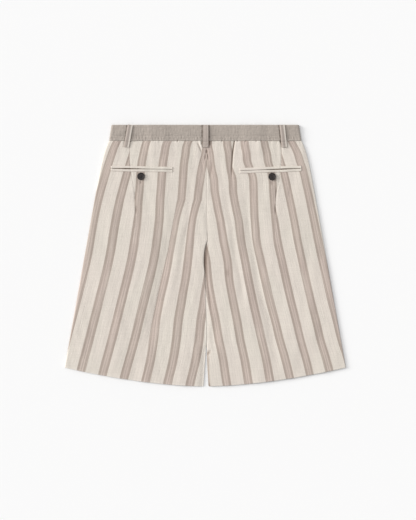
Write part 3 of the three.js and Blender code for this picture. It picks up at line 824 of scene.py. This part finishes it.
def striped(nodes, middle_colour, edge_colour):
    """Striped linen. Each repeat has a stripe with darker borders, a paler middle with fine lines in it,
    and a cream ground, all from the distance to the stripe's middle. Yarn colour varies along the yarns."""
    size, ground = sizes(), colours().ground
    vector, across, along = nodes.cloth()
    repeat, half = size.stripe_repeat, size.stripe_width / 2
    wander = nodes.math("SUBTRACT", nodes.grain(vector, (30, 60, 1)), 0.5)
    shifted = nodes.math("ADD", nodes.total(across, (wander, 0.0006)), repeat * 20.5)
    local = nodes.math("SUBTRACT", nodes.math("MODULO", shifted, repeat), repeat / 2)
    from_middle = nodes.math("ABSOLUTE", local)
    inside = nodes.between(from_middle, half + 0.0005, half - 0.0006)
    border = nodes.between(from_middle, half - BORDER[0], half - BORDER[1])
    border = nodes.math("MULTIPLY", border, inside)
    from_second = nodes.math("ABSOLUTE", nodes.math("SUBTRACT", from_middle, SECOND_LINE))
    middle_line = nodes.between(from_middle, 0.0011, 0.0003)
    second_line = nodes.between(from_second, 0.0008, 0.0002)
    warp_tone = nodes.grain(vector, (420, 9, 1), 3.0)
    weft_tone = nodes.grain(vector, (14, 330, 1), 3.0)
    broad = nodes.grain(vector, (22, 10, 1))
    stripe = nodes.mix(border, middle_colour, edge_colour)
    lines = nodes.total(0.0, (middle_line, 0.75), (second_line, 0.375))
    stripe = nodes.mix(lines, stripe, edge_colour)
    pale = nodes.mix(nodes.between(warp_tone, 0.52, 0.72), stripe, ground)
    stripe = nodes.mix(0.35, stripe, pale)
    cloth = nodes.mix(inside, ground, stripe)
    tint = nodes.between(nodes.grain(vector, (16, 7, 1), 3.0), 0.38, 0.62)
    cloth = nodes.mix(1.0, cloth, nodes.mix(tint, *FAINT_TINTS), "MULTIPLY")
    over, slubs = weave(nodes, vector, across, along, size.thread_pitch)
    tone = nodes.total(0.765, (warp_tone, 0.28), (weft_tone, 0.11), (broad, 0.08), (over, 0.02))
    bump = nodes.bump(slubs, 0.0008, 0.7, nodes.bump(over, 0.00012, 0.7))
    # The colour gets the painted shade and highlight of the mesh's attribute
    return nodes.finish(nodes.with_painted_shade(cloth, tone), nodes.total(0.86, (slubs, 0.04)), bump, sheen=0.12)


def band_linen(nodes):
    """Waistband cloth: one colour with yarns of light and dark taupe, crossed by short crimp lines."""
    vector, across, along = nodes.cloth()
    warp_tone = nodes.grain(vector, (520, 30, 1), 3.0)
    weft_tone = nodes.grain(vector, (60, 700, 1))
    crimp = nodes.grain(vector, (330, 60, 1))
    over, _ = weave(nodes, vector, across, along, sizes().thread_pitch)
    tone = nodes.total(0.54, (warp_tone, 0.30), (weft_tone, 0.42), (crimp, 0.20), (over, 0.03))
    bump = nodes.bump(crimp, 0.0008, 0.6, nodes.bump(over, 0.00012, 0.7))
    # The colour gets the painted shade of the mesh's attribute beside the loops and along the foot
    return nodes.finish(nodes.with_painted_shade(colours().band, tone), 0.9, bump, sheen=0.1)


def object_place(nodes):
    """The Object coordinates."""
    return nodes.new("TexCoord").outputs["Object"]


def button_resin(nodes):
    """Dark resin with faint cloudy streaks, and a fine grain in its polish."""
    place_at, button = object_place(nodes), colours().button
    cloud = nodes.between(nodes.grain(place_at, (160, 420, 160), 4.0), 0.42, 0.75)
    colour = nodes.mix(cloud, [0.55 * c for c in button], [2.4 * c for c in button])
    fine = nodes.noise(place_at, 2600.0)
    return nodes.finish(colour, nodes.total(0.42, (fine, 0.16)), nodes.bump(fine, 0.00003, 0.5))


def thread_finish(nodes, light):
    """Sewing thread: fine diagonal ribs and a slight change of tone from stitch to stitch."""
    place_at = object_place(nodes)
    colour = nodes.mix(nodes.noise(place_at, 320.0), [0.72 * c for c in light], light)
    ribs = nodes.grain(place_at, (4200, 2400, 2400))
    return nodes.finish(colour, 0.75, nodes.bump(ribs, 0.00008, 0.6), sheen=0.1)


# Pieces


def rows_between(top, foot, step):
    """Heights of rows of a panel's grid, a step apart."""
    return np.linspace(top, foot, int((top - foot) / step))


def front_grid(leg, step):
    """Points of a front panel: level rows from the waist to the hem, columns from the middle out."""
    side = LEGS[leg]
    share = np.linspace(0, 1, int((PANEL_WIDTH + 16) / step))
    row = rows_between(BAND_FOOT - SEAM_GAP, -HALF_LENGTH, step)[:, None] + 0 * share
    below_crotch = ramp((CROTCH_Y - row + 2) / 3)
    y = row.copy()
    for _ in range(4):
        inner = inner_edge(leg, y) + side * FRONT_INSET * below_crotch
        x = inner + share * (side * (side_edge(y) - FRONT_INSET) - inner)
        y = row_y(row, x)
    return xyz(x, y, FRONT_MID + loop_lift(x, y))


def draw_in(leg, x, y):
    """Draws columns together at sharp folds and rows together at the pocket's slit: each point moves
    towards the line by a share of its distance that falls off as a bell."""
    for fold in FOLDS[leg]:
        if fold["slip"] < 2:
            off = x - through(fold["y"], fold["x"], y)
            x = x - 0.6 * off * bell(off, 7.0) * ramp((y - fold["y"][0]) / 20)
    along, across = pocket_place(leg, x, y)
    return x, y - 0.55 * across * bell(across, 5.0) * ramp((70 - np.abs(along)) / 8)


def back_grid(leg, step):
    """Mid-cloth points of a back panel. Its edges turn down round a quarter ellipse to the surface. Where
    the left leg lies over the right, the left edge stays up, and the right one runs in low under it."""
    side = LEGS[leg]
    fine = rows_between(BAND_FOOT - SEAM_GAP, FINE_FOOT, 0.7 * step)
    wide = rows_between(FINE_FOOT, -HALF_LENGTH, 1.5 * step)
    turn = np.linspace(np.pi / 2, 0, 9)[:-1]
    flat = np.linspace(0, 1, int(PANEL_WIDTH / (0.78 * step)))
    share = np.concatenate([0 * turn, flat, 0 * turn + 1])
    angle = np.concatenate([turn, 0 * flat, turn[::-1]])
    row = np.concatenate([fine, wide[1:]])[:, None] + 0 * share
    y = row.copy()
    half = sizes().cloth / MM / 2 + CLEAR
    turned_down = ramp((CROTCH_Y - row) / WRAP_FADE)
    n = len(turn)
    for _ in range(4):
        inner = inner_edge(leg, y) + side * turned_down * half
        if leg == "right":
            inner = inner + overlap(y) * (inner_edge("left", y) - UNDERLAP - inner)
        start = inner + side * WRAP_WIDTH
        end = side * (side_edge(y) - half - OUTER_WRAP)
        over_edge = side * np.where(share < 0.5, -WRAP_WIDTH, OUTER_WRAP) * np.sin(angle)
        x = start + share * (end - start) + over_edge
        y = row_y(row, x)
    x, y = draw_in(leg, x, y)
    top = back_height(leg, x, y)
    weight = np.ones_like(row)
    weight[:, :n] = turned_down[:, :n]
    floor = EDGE_FLOOR + half + 0 * row
    if leg == "left":
        floor[:, :n] += overlap(y[:, :n]) * (2.6 + 0.6 * hollow(y[:, :n]))
    z = top - weight * (top - floor) * (1 - np.cos(angle))
    if leg == "left":
        low = EDGE_LOW + np.clip(z - EDGE_LOW, 0, None) * ramp((inner - x) / 14.0)
        z = z + ramp((OVERLAP_FOOT + 12 - y) / 16) * (np.minimum(z, low) - z)
    else:
        under = UNDER_LOW + 1.3 * (1 - hollow(y)) * overlap(y)
        low = under + (top - under) * ramp((x - inner) / 11.0)
        near = overlap(y) * (x < 60)
        z = z + near * (low - z)
    return xyz(x, y, z)


def turn_up_hem(points, depth, radius):
    """Folds the hem under: rows that go half round a small circle and back up inside the leg. Near the side
    edges, which turn down to the surface, the circle is smaller, so that nothing goes below it."""
    normal = normals(points)[-1]
    down = unit(points[-1] - points[-2])
    angles = np.linspace(0, np.pi, 6)[1:]
    start = points[-1]
    lowest = sizes().cloth / MM / 2 + CLEAR
    small = np.clip((start[:, 2:] - lowest) / 2, 0.05, radius)
    bend = [start + down * small * math.sin(a) - normal * small * (1 - math.cos(a)) for a in angles]
    back = [bend[-1] - down * d - normal * 0.15 * (d / depth) for d in np.linspace(0, depth, 7)[1:]]
    full = np.concatenate([points, np.array(bend + back)], axis=0)
    full[..., 2] = np.maximum(full[..., 2], lowest)
    return full


def panel(leg, back):
    """One panel of a leg, with its cloth coordinates. A back panel has its hem folded under."""
    step = sizes().grid / MM
    points = back_grid(leg, step) if back else front_grid(leg, FRONT_COARSE * step)
    x, y = points[..., 0], points[..., 1]
    across = cloth_across(leg, x, y) if back else side_edge(y) - LEGS[leg] * x - FRONT_FIRST
    along, painted_shading = y, None
    if back:
        points = turn_up_hem(points, HEM_DEPTH, HEM_BEND)
        extra = len(points) - len(y)
        values = (across, painted_shading_at(leg, x, y))
        across, painted_shading = (np.concatenate([one, np.repeat(one[-1:], extra, axis=0)]) for one in values)
        along = np.concatenate([y, y[-1] - np.linspace(1, HEM_DEPTH + 2, extra)[:, None]])
    side = "back" if back else "front"
    name = f"{side}_cloth_{leg}"
    mesh = grid_mesh(name, points, across, along, painted_shading, up=back)
    piece = place(name, mesh, striped_cloth())
    thicken(piece, sizes().cloth, even=False)
    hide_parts(f"{side}_panel_{leg}")
    return piece


def band_rings(half_at, rest, cloth, wrap, outside, step):
    """Rings of a waistband, one for each place along it. The ring is a long flat oval: outer face,
    rounded top edge, inner face, rounded foot. Both ends of the path turn down round a quarter ellipse."""
    edge = cloth / 2
    rim = np.linspace(-np.pi / 2, np.pi / 2, 7)
    face = np.linspace(edge, BAND_HEIGHT - edge, 44)
    back_face = np.linspace(BAND_HEIGHT - edge, edge, 12)
    top = np.stack([BAND_HEIGHT - edge + edge * np.cos(rim[::-1]), edge * np.sin(rim[::-1])], axis=-1)
    foot = np.stack([edge - edge * np.cos(rim), edge * np.sin(rim)], axis=-1)
    outer_side = np.stack([face, edge + 0 * face], axis=-1)
    inner_side = np.stack([back_face, -edge + 0 * back_face], axis=-1)
    ring = np.concatenate([outer_side, top[1:-1], inner_side, foot[1:-1]])
    up, out = ring[:, 0][None, :], ring[:, 1][None, :]
    half = half_at(up) - edge
    turn = np.linspace(np.pi / 2, 0, 8)[:-1] if wrap else np.zeros(0)
    middle = np.linspace(-1, 1, int(2 * BAND_TOP_HALF / step))
    angle = np.concatenate([turn, 0 * middle, turn[::-1]])[:, None]
    spread = np.concatenate([0 * turn - 1, middle, 0 * turn + 1])[:, None]
    sign = np.concatenate([0 * turn - 1, 0 * middle, 0 * turn + 1])[:, None]
    x = spread * (half - wrap) + sign * wrap * np.sin(angle)
    y = BAND_FOOT + up + 0 * x
    relief = outside(x, up) * np.clip(out / edge, 0, 1) * np.cos(angle)
    drop = (rest - EDGE_FLOOR - CLEAR) * (1 - np.cos(angle))
    reach = out + relief
    z = rest - drop + reach * np.cos(angle) + loop_lift(x, y) * (sign == 0)
    x = x + sign * reach * np.sin(angle)
    return x, y, z, up


def gathered(x, up):
    """Relief of the elastic: uneven upright crimps, strongest between the seam and the channel's
    stitch line, which itself pulls the cloth in."""
    fine = waves(x, up * 0.35, 4.2, 41, 24)
    wide = waves(x * 0.6, up * 1.1, 9.0, 42, 20)
    row = 0.08 + 0.30 * bell(up - 5.0, 3.6) + 0.06 * bell(up - 21, 7)
    channel = 0.42 * bell(up - CHANNEL_UP, 1.1) + 0.05 * bell(up - 2.0, 1.2)
    pits = 0.5 * ramp(band_pits(x) - 0.3) * bell(up, 2.4)
    relief = row * fine + 0.14 * wide - channel - pits
    return np.clip(relief, -1.1, 1.0) - 1.3 * beside_loops(x, BAND_FOOT + up)


def front_relief(x, up):
    """Relief of the plain front band: slow waves, kept inside its own thickness."""
    return 0.12 * waves(x, up, 40.0, 43) - 0.12


def band_half(up):
    """Half the waistband's width, from its foot to its top edge."""
    return BAND_FOOT_HALF + (BAND_TOP_HALF - BAND_FOOT_HALF) * up / BAND_HEIGHT


def front_band_half(up):
    """Half the front waistband's width, inside the back one's turned ends."""
    return band_half(up) - FRONT_BAND_INSET + FRONT_BAND_CLOTH / 2


def waistband(back):
    """The back or the front waistband, as one closed body."""
    name = "waistband_back_cloth" if back else "waistband_front_cloth"
    if back:
        x, y, z, up = band_rings(band_half, BAND_REST, BAND_CLOTH, BAND_WRAP, gathered, BAND_STEP)
    else:
        middle = FRONT_BAND_CLOTH / 2
        x, y, z, up = band_rings(front_band_half, middle, FRONT_BAND_CLOTH, 0, front_relief, FRONT_BAND_STEP)
    # Painted shade in the pits along the band's foot and beside the loops, painted highlight along the rest
    # of its foot
    foot = (0.9 * ramp(band_pits(x) - 0.3) - 0.5) * bell(up, 1.6)
    painted_shading = np.clip(0.85 * beside_loops(x, y) + foot, -0.5, 1)
    mesh = grid_mesh(name, xyz(x, y, z), x * BAND_GATHERED, up + 0 * x, painted_shading * back, closed=True)
    piece = place(name, mesh, material("band_linen", band_linen))
    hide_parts("waistband_back" if back else "waistband_front")
    return piece


def strip_rings(centre, sideways, upward, width, thickness, crown):
    """Rings of a folded cloth strip along a path: a flat rounded oval, a little raised in its middle."""
    around = np.linspace(-0.5 * np.pi + 0.06, 1.5 * np.pi - 0.06, 32)
    c, s = np.cos(around), np.sin(around)
    across = fuller(c, 0.5) * width / 2
    out = fuller(s, 0.6) * thickness / 2 + crown * (1 - (2 * across / width) ** 2)
    rings = centre[:, None] + sideways[:, None] * across[None, :, None]
    return rings + upward[:, None] * out[None, :, None], across


def strip_piece(part, rings, across, along, linen):
    """A folded strip of cloth, with its wall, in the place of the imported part."""
    mesh = grid_mesh(part + "_cloth", rings, across, along)
    piece = place(part + "_cloth", mesh, linen)
    thicken(piece, FOLDED_WALL * MM)
    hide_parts(part)
    return piece


def loop_piece(part, cut, centre, sideways, upward, width, thickness, crown):
    """A belt loop along a path, with the place in the cloth that it was cut from."""
    wall = FOLDED_WALL
    rings, across = strip_rings(centre, sideways, upward, width - wall, thickness - wall, crown)
    along = centre[:, 1:2] + 0 * across
    return strip_piece(part, rings, cut + across + 0 * along, along, loop_cloth())


def cloth_top(x, y):
    """Height of the back cloth's outer face at points of either leg."""
    half = sizes().cloth / MM / 2
    return np.where(x < SEAM_TOP_X, back_height("left", x, y), back_height("right", x, y)) + half


def back_loop(loop):
    """A belt loop over the waistband: sewn down at its top and foot, standing off the band between."""
    down = np.linspace(LOOP_DOWN[0], LOOP_DOWN[-1], 60)
    rise = LOOP_SEWN + loop["rise"] * (through(LOOP_DOWN, LOOP_RISE, down) - LOOP_SEWN)
    y = HALF_LENGTH - down
    x = loop["top"] + (loop["foot"] - loop["top"]) * down / LOOP_LENGTH
    band_top = BAND_REST + BAND_CLOTH / 2 + 0.35
    on_band = ramp((BAND_HEIGHT + 2.0 - down) / 3.0)
    z = on_band * band_top + (1 - on_band) * cloth_top(x, y) + rise + LOOP_CLOTH / 2
    centre = xyz(x, y, z)
    ahead = unit(np.gradient(centre, axis=0))
    sideways = unit(xyz(-ahead[:, 1], ahead[:, 0], 0))
    upward = np.cross(sideways, ahead)
    upward *= np.sign(upward[:, 2:3])
    part = "belt_loop_back_" + loop["name"]
    return loop_piece(part, loop["cut"], centre, sideways, upward, loop["width"], LOOP_CLOTH, LOOP_CROWN)


def front_loop(loop):
    """A belt loop that lies flat under the front waistband."""
    y = np.linspace(HALF_LENGTH - SEAM_GAP, HALF_LENGTH - LOOP_LENGTH, 40)
    centre = xyz(loop["x"], y, FRONT_MID)
    sideways, upward = xyz(1, 0, 0 * y), xyz(0, 0, 1 + 0 * y)
    part = "belt_loop_front_" + loop["name"]
    return loop_piece(part, loop["cut"], centre, sideways, upward, LOOP_WIDTH, FRONT_LOOP_CLOTH, 0.0)


def pocket_lip(side, direction):
    """One lip of a welt pocket: a rolled strip beside the slit, which gapes most towards its outer end."""
    pocket = POCKETS[side]
    share = np.linspace(-0.5, 0.5, 150)
    gape = SLIT_OPEN * bell(share - pocket["open_at"], 0.22)
    slit = SLIT / 2 + gape / 2 * ramp((0.5 - np.abs(share)) / 0.04)
    end = np.sqrt(np.clip(1 - ((np.abs(share) - 0.492) / 0.008).clip(0, 1) ** 2, 0.02, 1))
    around = np.linspace(-0.5 * np.pi + 0.08, 1.5 * np.pi - 0.08, 24)
    c, s = np.cos(around), np.sin(around)
    width = (LIP_HEIGHT - 0.35 * gape / SLIT_OPEN) / 2 * end
    middle = slit + LIP_HEIGHT / 2
    away = middle[:, None] + fuller(c, 0.7) * width[:, None]
    along = share[:, None] * pocket["length"] + 0 * away
    x, y = at_pocket(side, along, direction * away)
    inner = np.clip(1 - (away - slit[:, None]) / LIP_HEIGHT, 0, 1)
    out = (0.5 + 0.5 * fuller(s, 0.8)) * (LIP_CLOTH + 0.35 * inner) * end[:, None]
    z = cloth_top(*at_pocket(side, along, direction * LIP_SEAT)) + CLEAR + out
    rings = xyz(x, y, z)
    name = f"pocket_lip_{'upper' if direction > 0 else 'lower'}_{side}"
    return strip_piece(name, rings, LIP_CUT + 0.4 * (away - middle[:, None]), along, striped_cloth())


def button_disc(side):
    """A turned button: height is a function of radius, a raised rim round a dish, with four sunk holes."""
    x0, y0 = BUTTONS[side]
    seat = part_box(f"button_{side}")[0][2] / MM
    radius = np.concatenate([np.linspace(0, 0.9, 60), np.linspace(0.915, 1.0, 14)]) * BUTTON_RADIUS
    around = np.linspace(0, 2 * np.pi, 120, endpoint=False)
    r, a = radius[:, None], around[None, :]
    px, py = r * np.cos(a), r * np.sin(a)
    top = BUTTON_HEIGHT - RIM_RISE + RIM_RISE * ramp((r - 5.4) / 0.9) - 0.10 * bell(r - 3.6, 0.35)
    top = top - 1.3 * (1 - np.sqrt(1 - (r - 6.6).clip(0, 1) ** 2))
    hole = np.hypot(np.abs(px) - HOLE_OFF, np.abs(py) - HOLE_OFF)
    top = top - 1.2 * ramp((HOLE_RADIUS - hole) / 0.3)
    upper = xyz(px + x0, py + y0, seat + top)
    ur = np.linspace(1.0, 0, 12)[1:, None] * BUTTON_RADIUS
    lift = ramp((ur - 5.8) / 1.8)
    lower = xyz(ur * np.cos(a) + x0, ur * np.sin(a) + y0, seat + lift)
    rings = np.concatenate([upper[1:], lower[:-1]], axis=0)
    mesh = grid_mesh(f"button_disc_{side}", rings, 0 * rings[..., 0], 0 * rings[..., 0], closed=True)
    piece = place(f"button_disc_{side}", mesh, material("button_resin", button_resin))
    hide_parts(f"button_{side}")
    return piece


def stitches(name, x, y, z, step, sag, radius, slot="striped_cloth", thread="sewing_thread", colour=None):
    """Many stitches as one mesh, each a small closed body: a short thread that rises from the cloth, lies
    on it and goes back in a step further on. Its middle rises by sag, and it is thinner at both ends."""
    starts = xyz(x, y, z)
    ahead = np.asarray(step) + 0 * starts
    up = np.array((0, 0, 1.0))
    share = np.linspace(0, 1, 7)[:, None]
    rise = np.sin(np.pi * share)
    centre = starts[:, None] + ahead[:, None] * share + (sag * rise - radius) * up
    around = np.linspace(0, 2 * np.pi, 8, endpoint=False)[:, None]
    ring = np.cos(around) * np.cross(unit(ahead), up)[:, None] + np.sin(around) * up
    rings = centre[:, :, None] + (radius * (0.55 + 0.45 * rise))[..., None] * ring[:, None]
    index = np.arange(rings[..., 0].size).reshape(rings.shape[:3])
    after = np.roll(index, -1, axis=2)
    quads = np.stack([index[:, :-1], index[:, 1:], after[:, 1:], after[:, :-1]], axis=-1).reshape(-1, 4)
    caps = [cap for one in index for cap in (one[0], one[-1][::-1])]
    flat = rings.reshape(-1, 3) * MM
    mesh = quad_mesh(name, flat, quads, 0 * flat[:, 0], 0 * flat[:, 0], caps)
    light = list(colours().thread) if colour is None else colour
    return place(name, mesh, material(thread, thread_finish, light))


class SHORTS_OT_back_panels(bpy.types.Operator):
    """Adds the two back panels"""

    bl_idname = "shorts.back_panels"
    bl_label = "Back panels"

    def execute(self, context):
        for leg in LEGS:
            piece = panel(leg, back=True)
        return {"FINISHED"}


class SHORTS_OT_front_panels(bpy.types.Operator):
    """Adds the two front panels"""

    bl_idname = "shorts.front_panels"
    bl_label = "Front panels"

    def execute(self, context):
        for leg in LEGS:
            piece = panel(leg, back=False)
        return {"FINISHED"}


class SHORTS_OT_waistband(bpy.types.Operator):
    """Adds the gathered back waistband and the plain front one"""

    bl_idname = "shorts.waistband"
    bl_label = "Waistband"

    def execute(self, context):
        waistband(True)
        waistband(False)
        return {"FINISHED"}


class SHORTS_OT_belt_loops(bpy.types.Operator):
    """Adds three belt loops on the back and two on the front"""

    bl_idname = "shorts.belt_loops"
    bl_label = "Belt loops"

    def execute(self, context):
        for loop in BACK_LOOPS:
            back_loop(loop)
        for loop in FRONT_LOOPS:
            front_loop(loop)
        return {"FINISHED"}


class SHORTS_OT_pockets(bpy.types.Operator):
    """Adds the two lips of each welt pocket"""

    bl_idname = "shorts.pockets"
    bl_label = "Welt pockets"

    def execute(self, context):
        for side in POCKETS:
            for direction in (1, -1):
                piece = pocket_lip(side, direction)
        return {"FINISHED"}


class SHORTS_OT_buttons(bpy.types.Operator):
    """Adds the pocket buttons and their thread"""

    bl_idname = "shorts.buttons"
    bl_label = "Buttons"

    def execute(self, context):
        for side, (x, y) in BUTTONS.items():
            button_disc(side)
            off = HOLE_OFF * np.array((1, -1))
            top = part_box(f"button_{side}")[0][2] / MM + THREAD_RISE
            step = xyz(-2 * HOLE_OFF, -2 * off, 0.1)
            dark = [1.6 * c for c in colours().button]
            name = f"button_thread_{side}"
            stitches(name, x + HOLE_OFF, y + off, top, step, 0.5, 0.32, "button", "button_thread", dark)
        return {"FINISHED"}


class SHORTS_OT_stitching(bpy.types.Operator):
    """Adds the channel stitches of the waistband, the loops' bar tacks and the pockets' end stitches"""

    bl_idname = "shorts.stitching"
    bl_label = "Stitching"

    def execute(self, context):
        pitch = sizes().stitch / MM
        x = np.arange(-176, 176, pitch)
        up = CHANNEL_UP
        height = BAND_REST + BAND_CLOTH / 2 + gathered(x, up + 0 * x) + loop_lift(x, BAND_FOOT + up)
        taupe = [1.05 * c for c in colours().band]
        places = ("channel_stitches", x, BAND_FOOT + up, height + 0.1, (pitch * 0.72, 0, 0))
        stitches(*places, 0.12, 0.17, "band_cloth", "band_thread", taupe)
        for loop in BACK_LOOPS:
            across = np.linspace(-BAR_TACK_HALF, BAR_TACK_HALF, 11)
            y = HALF_LENGTH - BAR_TACK_DOWN
            centre = loop["top"] + (loop["foot"] - loop["top"]) * BAR_TACK_DOWN / LOOP_LENGTH
            height = cloth_top(np.array([centre]), np.array([y]))[0] + 0.45 + LOOP_CLOTH + 0.25
            height = height - 0.02 * across**2
            name = "bar_tack_belt_loop_back_" + loop["name"]
            stitches(name, centre + across, y - 0.7, height, (0.5, 1.4, 0), 0.12, 0.2)
        for side, pocket in POCKETS.items():
            for end_name, end in (("inner", -1), ("outer", 1)):
                along = end * LEGS[side] * (pocket["length"] / 2 - END_TACK_IN)
                px, py = at_pocket(side, along, np.linspace(-END_TACK_HALF, END_TACK_HALF, 9))
                height = cloth_top(px, py).max() + LIP_CLOTH + 0.3
                name = f"pocket_tack_{end_name}_{side}"
                stitches(name, px - 0.7, py, height, (1.4, 0.4, 0), 0.08, 0.16)
        return {"FINISHED"}


class SHORTS_OT_stage(bpy.types.Operator):
    """Adds the pale floor, the soft light and the camera straight above"""

    bl_idname = "shorts.stage"
    bl_label = "Stage"

    def execute(self, context):
        scene = context.scene
        corners = [(x * FLOOR_HALF, y * FLOOR_HALF, 0) for x, y in ((-1, -1), (1, -1), (1, 1), (-1, 1))]
        mesh = bpy.data.meshes.new("floor")
        mesh.from_pydata(corners, [], [[0, 1, 2, 3]])
        floor = add_object("floor", mesh)
        nodes = Nodes("floor_paper")
        tone = nodes.noise(object_place(nodes), 900.0)
        colour = nodes.mix(tone, [0.995 * c for c in colours().floor], colours().floor)
        mesh.materials.append(nodes.finish(colour, 0.95))
        world = bpy.data.worlds.new("studio")
        scene.world = world
        world.use_nodes = True
        background = world.node_tree.nodes["Background"]
        background.inputs["Color"].default_value = SKY_COLOUR
        background.inputs["Strength"].default_value = SKY_STRENGTH
        for name, energy, spread, tilt_x, tilt_y in LIGHTS:
            sun = bpy.data.lights.new(name, "SUN")
            sun.energy = energy
            sun.angle = math.radians(spread)
            sun.color = LIGHT_COLOUR
            add_object(name, sun).rotation_euler = (math.radians(tilt_x), math.radians(tilt_y), 0)
        lens = bpy.data.cameras.new("camera")
        lens.lens = LENS
        lens.sensor_width = SENSOR
        scene.camera = add_object("camera", lens)
        scene.camera.location = CAMERA_AT
        scene.view_settings.view_transform = "Standard"
        return {"FINISHED"}


OPERATORS = (
    SHORTS_OT_back_panels,
    SHORTS_OT_front_panels,
    SHORTS_OT_waistband,
    SHORTS_OT_belt_loops,
    SHORTS_OT_pockets,
    SHORTS_OT_buttons,
    SHORTS_OT_stitching,
    SHORTS_OT_stage,
)


class SHORTS_PT_pieces(bpy.types.Panel):
    """Lists the pieces of the shorts"""

    bl_label = "Shorts"
    bl_space_type = "VIEW_3D"
    bl_region_type = "UI"
    bl_category = "Shorts"

    def draw(self, context):
        for group in (context.scene.shorts_sizes, context.scene.shorts_colours):
            for name in group.__annotations__:
                self.layout.prop(group, name)
        for operator in OPERATORS:
            self.layout.operator(operator.bl_idname)


CLASSES = (ShortsSizes, ShortsColours, *OPERATORS, SHORTS_PT_pieces)


def register():
    """Registers the classes and puts their settings on the scene."""
    for one in CLASSES:
        bpy.utils.register_class(one)
    bpy.types.Scene.shorts_sizes = bpy.props.PointerProperty(type=ShortsSizes)
    bpy.types.Scene.shorts_colours = bpy.props.PointerProperty(type=ShortsColours)


def unregister():
    """Takes the settings and classes away again."""
    del bpy.types.Scene.shorts_colours
    del bpy.types.Scene.shorts_sizes
    for one in reversed(CLASSES):
        bpy.utils.unregister_class(one)


def main():
    """Builds everything in order."""
    register()
    bpy.ops.shorts.stage()
    bpy.ops.shorts.back_panels()
    bpy.ops.shorts.front_panels()
    bpy.ops.shorts.waistband()
    bpy.ops.shorts.belt_loops()
    bpy.ops.shorts.pockets()
    bpy.ops.shorts.buttons()
    bpy.ops.shorts.stitching()


if __name__ == "__main__":
    main()
